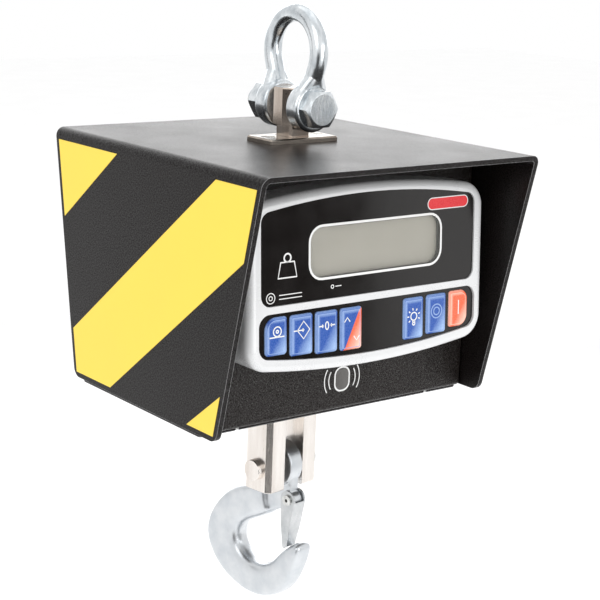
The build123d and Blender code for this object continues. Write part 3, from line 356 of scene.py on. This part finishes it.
def stack(face, rings, closed_top=True):
    """Vertices and faces of rings of equal length, each (points, proud), joined in order."""
    count = len(rings[0][0])
    verts = [face(x, z, proud) for points, proud in rings for x, z in points]
    faces = []
    for ring in range(len(rings) - 1):
        for i in range(count):
            j = (i + 1) % count
            a, b = ring * count, (ring + 1) * count
            faces.append((a + i, a + j, b + j, b + i))
    if closed_top:
        top = (len(rings) - 1) * count
        faces.append(tuple(range(top, top + count)))
    return verts, faces


def ring_line(name, face, shape, inner, outer, proud, material, body, slot):
    """A raised printed line between two insets of a rounded rectangle."""
    edge = 0.1 * MM
    rings = [(rounded(*shape, inset=outer), 0.0), (rounded(*shape, inset=outer), proud * 0.7),
             (rounded(*shape, inset=outer + edge), proud), (rounded(*shape, inset=inner - edge), proud),
             (rounded(*shape, inset=inner), proud * 0.7), (rounded(*shape, inset=inner), 0.0)]
    verts, faces = stack(face, rings, closed_top=False)
    return add_piece(name, verts, faces, material, body, slot)


def strokes(name, face, paths, width, base, proud, material, body, slot):
    """Thin printed strokes; each path is (points, closed) in x and z."""
    verts, faces = [], []
    for points, closed in paths:
        points = [Vector(point) for point in points]
        count = len(points)
        start = len(verts)
        for i, point in enumerate(points):
            before = points[i - 1] if closed or i else point
            after = points[(i + 1) % count] if closed or i < count - 1 else point
            along = (after - before).normalized()
            side = Vector((-along.y, along.x)) * width / 2
            first, last = point + side, point - side
            for p, lift in ((first, base), (first, proud), (last, proud), (last, base)):
                verts.append(face(p.x, p.y, lift))
        for i in range(count if closed else count - 1):
            a, b = start + 4 * i, start + 4 * ((i + 1) % count)
            for k in range(3):
                faces.append((a + k, b + k, b + k + 1, a + k + 1))
        if not closed:
            end = start + 4 * (count - 1)
            faces.append((start, start + 1, start + 2, start + 3))
            faces.append((end + 3, end + 2, end + 1, end))
    return add_piece(name, verts, faces, material, body, slot)


def circle(x, z, r, r_z=None, steps=28):
    turn = 2 * math.pi / steps
    return [(x + r * math.cos(turn * i), z + (r_z or r) * math.sin(turn * i)) for i in range(steps)], True


def line(*points):
    return list(points), False


def arrow(x_tail, x_tip, z, head=1.5 * MM):
    back_x = x_tip - math.copysign(head, x_tip - x_tail)
    barbs = line((back_x, z + head * 0.8), (x_tip, z), (back_x, z - head * 0.8))
    return [line((x_tail, z), (x_tip, z)), barbs]


KEY_FLANGE = 0.9 * MM
KEY_RADII = {"print": (10.0, 2.5, 3.0, 3.5), "on": (2.5, 8.0, 9.0, 2.5)}
PANEL_INSET = 2.3 * MM
PANEL_LIFT = 0.28 * MM
INK = 0.1 * MM


def key_icons(cx, cz):
    """Plain pictograms for each key about its middle, as strokes."""
    mm = 1.2 * MM
    rays = []
    for turn in range(-20, 221, 40):
        c, s = math.cos(math.radians(turn)), math.sin(math.radians(turn))
        near, far = 4.2 * mm, 5.8 * mm
        rays.append(line((cx + near * c, cz + 1.5 * mm + near * s), (cx + far * c, cz + 1.5 * mm + far * s)))
    diamond = [(cx + 1.4 * mm, cz + 9 * mm), (cx + 6.4 * mm, cz + 3.2 * mm), (cx + 1.4 * mm, cz - 2.6 * mm),
               (cx - 3.6 * mm, cz + 3.2 * mm)]
    return {
        "print": [circle(cx + 0.6 * mm, cz + 3.4 * mm, 3.1 * mm),
                  circle(cx + 0.6 * mm, cz + 3.4 * mm, 0.9 * mm),
                  line((cx - 5.6 * mm, cz - 0.2 * mm), (cx + 6.2 * mm, cz - 0.2 * mm))],
        "tare": [(diamond, True), *arrow(cx - 6.6 * mm, cx + 1.8 * mm, cz + 3.2 * mm)],
        "zero": [circle(cx, cz + 4.4 * mm, 1.3 * mm, 2.5 * mm),
                 *arrow(cx - 6.6 * mm, cx - 2.8 * mm, cz + 4.4 * mm),
                 *arrow(cx + 6.6 * mm, cx + 2.8 * mm, cz + 4.4 * mm)],
        "unit": [line(*((cx + x * mm, cz + z * mm) for x, z in ((-6, 5), (-3.6, 8), (-1.2, 5)))),
                 line(*((cx + x * mm, cz + z * mm) for x, z in ((2, -5), (4.4, -8), (6.8, -5))))],
        "light": [circle(cx, cz + 1.5 * mm, 2.7 * mm),
                  line((cx - 0.9 * mm, cz - 1.2 * mm), (cx - 0.9 * mm, cz - 2.6 * mm)),
                  line((cx + 0.9 * mm, cz - 1.2 * mm), (cx + 0.9 * mm, cz - 2.6 * mm)),
                  circle(cx, cz - 3.5 * mm, 1.0 * mm), *rays],
        "off": [circle(cx, cz + 2.0 * mm, 4.8 * mm), circle(cx, cz + 2.0 * mm, 2.6 * mm)],
        "on": [line((cx, cz - 4 * mm), (cx, cz + 6 * mm))],
    }


for node in [name for name in nodes if name.startswith("key_") and name != "key_switches"]:
    key = node[len("key_"):]
    face = Face(node, tilted=True)
    left, right = face.low.x + KEY_FLANGE, face.high.x - KEY_FLANGE
    bottom, top = face.low.z + KEY_FLANGE, face.high.z - KEY_FLANGE
    radii = [r * MM for r in KEY_RADII.get(key, (2.5, 2.5, 2.5, 2.5))]
    outline = (left, right, bottom, top, radii)
    levels = ((PANEL_INSET - 0.5 * MM, 0.0), (PANEL_INSET, PANEL_LIFT * 0.8),
              (PANEL_INSET + 0.5 * MM, PANEL_LIFT), (PANEL_INSET + 3 * MM, PANEL_LIFT * 1.15),
              (PANEL_INSET + 6 * MM, PANEL_LIFT * 1.2))
    rings = [(rounded(*outline, inset=inset), lift) for inset, lift in levels]
    verts, faces = stack(face, rings)
    cap_material = split_key if key == "unit" else SLOT_MATERIALS[slot_of[node]]
    add_piece(f"keycap_{key}", verts, faces, cap_material, node, slot_of[node], smooth=True)
    middle_x, middle_z = (left + right) / 2, (bottom + top) / 2
    ink = pale_ink if key == "off" else white_ink
    strokes(f"icon_{key}", face, key_icons(middle_x, middle_z)[key], 1.0 * MM, PANEL_LIFT,
            PANEL_LIFT * 1.2 + INK, ink, node, "silver_plastic")
    line_ink = peach_ink if key == "on" else pale_ink
    ring_line(f"keyline_{key}", face, outline, PANEL_INSET + 0.1 * MM, PANEL_INSET - 0.45 * MM,
              PANEL_LIFT * 0.9, line_ink, node, "silver_plastic")



# ---------------------------------------------------------------- forged hook
WORN_BLEND = 5 * MM          # over this distance the wear fades out towards a bore


def forged(name, node, voxel, rounds, bores):
    """The CAD node with its edges worn round, as on a forging, but not near the bores (centre, radius)."""
    source = nodes[node]
    work = bpy.data.objects.new(name + "_work", source.data.copy())
    work.matrix_world = source.matrix_world
    bpy.context.scene.collection.objects.link(work)
    remesh = work.modifiers.new("even", "REMESH")
    remesh.mode = "VOXEL"
    remesh.voxel_size = voxel
    graph = bpy.context.evaluated_depsgraph_get()
    mesh = bpy.data.meshes.new_from_object(work.evaluated_get(graph), depsgraph=graph)
    mesh.name = name
    mesh.transform(source.matrix_world)
    bpy.data.objects.remove(work)
    obj = bpy.data.objects.new(name, mesh)
    bpy.context.scene.collection.objects.link(obj)
    mesh.polygons.foreach_set("use_smooth", [True] * len(mesh.polygons))
    mesh.materials.clear()
    mesh.materials.append(SLOT_MATERIALS[slot_of[node]])
    group = obj.vertex_groups.new(name="worn")
    for vertex in mesh.vertices:
        clear = min((vertex.co - centre).length - radius for centre, radius in bores)
        weight = min(max(clear / WORN_BLEND, 0.0), 1.0)
        if weight:
            group.add([vertex.index], weight, "REPLACE")
    smooth = obj.modifiers.new("worn", "SMOOTH")
    smooth.factor = 0.5
    smooth.iterations = rounds
    smooth.vertex_group = "worn"
    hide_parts(node)
    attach(obj, "hook")


joints = {joint["name"]: joint for joint in frame["record"]["behaviour"]["joints"]}
hook_bores = [(Vector(joints["hook_swing"]["pos_m"]), 23 * MM),
              (Vector(joints["latch_hinge"]["pos_m"]), 14 * MM)]
forged("hook_forging", "hook_body", 0.8 * MM, 120, hook_bores)

label = Face("label_plate", tilted=True)


def arc(x, z, r, start, end, steps=10):
    turns = [math.radians(start + (end - start) * i / steps) for i in range(steps + 1)]
    return [(x + r * math.cos(t), z + r * math.sin(t)) for t in turns], False


SIGN_X, SIGN_Z = -84 * MM, -0.176
weight_sign = [
    ([(SIGN_X - 9 * MM, SIGN_Z - 8 * MM), (SIGN_X + 9 * MM, SIGN_Z - 8 * MM),
      (SIGN_X + 6.5 * MM, SIGN_Z + 4 * MM), (SIGN_X - 6.5 * MM, SIGN_Z + 4 * MM)], True),
    circle(SIGN_X, SIGN_Z + 7.2 * MM, 3.2 * MM),
]
strokes("label_weight_sign", label, weight_sign, 1.3 * MM, 0.0, INK, white_ink, "housing", "silver_plastic")
SEAL_X, SEAL_Z = -100 * MM, -0.1985
NOTE_Z = -0.1958
small_print = [
    circle(SEAL_X, SEAL_Z, 4.0 * MM), circle(SEAL_X, SEAL_Z, 1.6 * MM),
    line((-92 * MM, SEAL_Z + 1.5 * MM), (-70 * MM, SEAL_Z + 1.5 * MM)),
    line((-92 * MM, SEAL_Z - 1.5 * MM), (-70 * MM, SEAL_Z - 1.5 * MM)),
    circle(-40 * MM, NOTE_Z, 1.3 * MM), line((-37 * MM, NOTE_Z), (-31 * MM, NOTE_Z)),
]
strokes("label_small_marks", label, small_print, 0.7 * MM, 0.0, INK, white_ink, "housing", "silver_plastic")
window_low, window_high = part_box("display_window")
window_shape = (window_low.x, window_high.x, window_low.z, window_high.z, [11 * MM] * 4)
ring_line("window_outline", label, window_shape, -0.35 * MM, -2.3 * MM, 0.15 * MM, white_ink, "housing",
          "silver_plastic")

BADGE = (58.5 * MM, 103.5 * MM, -0.1442, -0.1340)
badge_shape = (*BADGE, [5 * MM] * 4)
badge_ring = rounded(*badge_shape, inset=0.7 * MM)
badge = stack(label, [(badge_ring, 0.0), (badge_ring, 0.1 * MM)])
add_piece("badge_field", *badge, red_ink, "housing", "orange_key")
ring_line("badge_border", label, badge_shape, 0.8 * MM, 0.0, 0.13 * MM, white_ink, "housing",
          "silver_plastic")

panel_face = Face("front_panel", tilted=False)
lens_low, lens_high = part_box("sensor_lens")
LENS_FLANGE = 2 * MM
lens_shape = (lens_low.x + LENS_FLANGE, lens_high.x - LENS_FLANGE, lens_low.z + LENS_FLANGE,
              lens_high.z - LENS_FLANGE, [5.5 * MM] * 4)
lens_x, lens_z = (lens_low.x + lens_high.x) / 2, (lens_low.z + lens_high.z) / 2
signal = []
for radius in (14 * MM, 18.5 * MM):
    signal.append(arc(lens_x, lens_z, radius, -32, 32))
    signal.append(arc(lens_x, lens_z, radius, 148, 212))
strokes("sensor_signal_sign", panel_face, signal, 0.9 * MM, 0.0, INK, white_ink, "housing", "silver_plastic")
ring_line("sensor_outline", panel_face, lens_shape, -0.3 * MM, -1.7 * MM, 0.15 * MM, white_ink, "housing",
          "silver_plastic")


# ---------------------------------------------------------------- camera
CAMERA_AT = Vector((-0.7913, -1.0244, 0.0762))
CAMERA_AZIMUTH, CAMERA_ELEVATION, CAMERA_ROLL = -38.19, 13.48, 2.19
CAMERA_LENS_MM = 93.58
azimuth, elevation = math.radians(CAMERA_AZIMUTH), math.radians(CAMERA_ELEVATION)
back = Vector((math.sin(azimuth) * math.cos(elevation), -math.cos(azimuth) * math.cos(elevation),
               math.sin(elevation)))
camera = bpy.data.objects.new("camera", bpy.data.cameras.new("camera"))
bpy.context.scene.collection.objects.link(camera)
camera.data.sensor_width = 36.0
camera.data.lens = CAMERA_LENS_MM
camera.data.clip_end = 50.0
aim = (-back).to_track_quat("-Z", "Y").to_matrix().to_4x4()
roll = Matrix.Rotation(math.radians(CAMERA_ROLL), 4, "Z")
camera.matrix_world = Matrix.Translation(CAMERA_AT) @ aim @ roll
bpy.context.scene.camera = camera


# ---------------------------------------------------------------- stage and light
def plain_white(name, colour):
    s = Shader(name).set(Roughness=0.9)
    s.link(s.ramp(s.noise(3.0), ((0.3, colour), (0.7, tuple(c * 1.02 for c in colour)))), "Base Color")
    return s.material


def panel(name, centre, target, size, material):
    """A flat square card facing its target."""
    mesh = bpy.data.meshes.new(name)
    half_w, half_h = size[0] / 2, size[1] / 2
    corners = [(-half_w, -half_h, 0), (half_w, -half_h, 0), (half_w, half_h, 0), (-half_w, half_h, 0)]
    mesh.from_pydata(corners, [], [(0, 1, 2, 3)])
    obj = bpy.data.objects.new(name, mesh)
    bpy.context.scene.collection.objects.link(obj)
    turn = (Vector(target) - Vector(centre)).to_track_quat("Z", "Y").to_matrix().to_4x4()
    obj.matrix_world = Matrix.Translation(centre) @ turn
    mesh.materials.append(material)
    return obj


def soft_light(name, centre, target, size, power):
    data = bpy.data.lights.new(name, "AREA")
    data.shape = "RECTANGLE"
    data.size, data.size_y = size
    data.energy = power
    obj = bpy.data.objects.new(name, data)
    bpy.context.scene.collection.objects.link(obj)
    turn = (Vector(target) - Vector(centre)).to_track_quat("-Z", "Y").to_matrix().to_4x4()
    obj.matrix_world = Matrix.Translation(centre) @ turn
    return obj


def glowing(name, strength):
    s = Shader(name).set(Roughness=0.9, Emission_Color=(1.0, 1.0, 1.0, 1.0), Emission_Strength=strength)
    s.link(s.ramp(s.noise(2.0), ((0.3, (0.8, 0.8, 0.8)), (0.7, (0.82, 0.82, 0.82)))), "Base Color")
    return s.material


def around(azimuth_deg, elevation_deg, distance):
    """A point at a distance from the object's middle, as a camera there would stand."""
    a, e = math.radians(azimuth_deg), math.radians(elevation_deg)
    return middle + distance * Vector((math.sin(a) * math.cos(e), -math.cos(a) * math.cos(e), math.sin(e)))


middle = (cad_bounds[0] + cad_bounds[1]) / 2
FLOOR_DROP = 1.0
floor_z = cad_bounds[0].z - FLOOR_DROP
panel("floor", (0, 0, floor_z), (0, 0, 1), (30, 30), plain_white("floor_white", (0.975, 0.975, 0.975)))
backdrop = panel("backdrop", around(CAMERA_AZIMUTH + 180, 20, 4.0), middle, (6.0, 2.6),
                 glowing("backdrop_glow", 1.5))
dark_card = plain_white("flag_grey", (0.02, 0.02, 0.02))
flag = panel("dark_flag", around(CAMERA_AZIMUTH - 6, -13, 2.4), middle, (1.5, 1.4), dark_card)
streak_left = panel("dark_streak_left", around(CAMERA_AZIMUTH - 90, 14, 2.2), middle, (0.28, 1.0),
                    dark_card)
streak_right = panel("dark_streak_right", around(30, -8, 1.8), middle, (0.5, 1.3), dark_card)
backdrop.visible_camera = False
for card in (flag, streak_left, streak_right):
    card.visible_camera = False
    card.visible_shadow = False
    card.visible_diffuse = False
soft_light("key_left", (-1.8, -0.9, 0.9), middle, (1.2, 1.6), 8)
soft_light("key_front", (0.6, -2.1, -0.05), middle, (1.5, 1.2), 13)
soft_light("top", (0.1, 0.2, 1.9), middle, (2.0, 2.0), 6)

world = bpy.data.worlds.new("studio")
bpy.context.scene.world = world
world.use_nodes = True
world.node_tree.nodes["Background"].inputs["Color"].default_value = (1.0, 1.0, 1.0, 1.0)
world.node_tree.nodes["Background"].inputs["Strength"].default_value = 1.0
bpy.context.scene.view_settings.view_transform = "Standard"
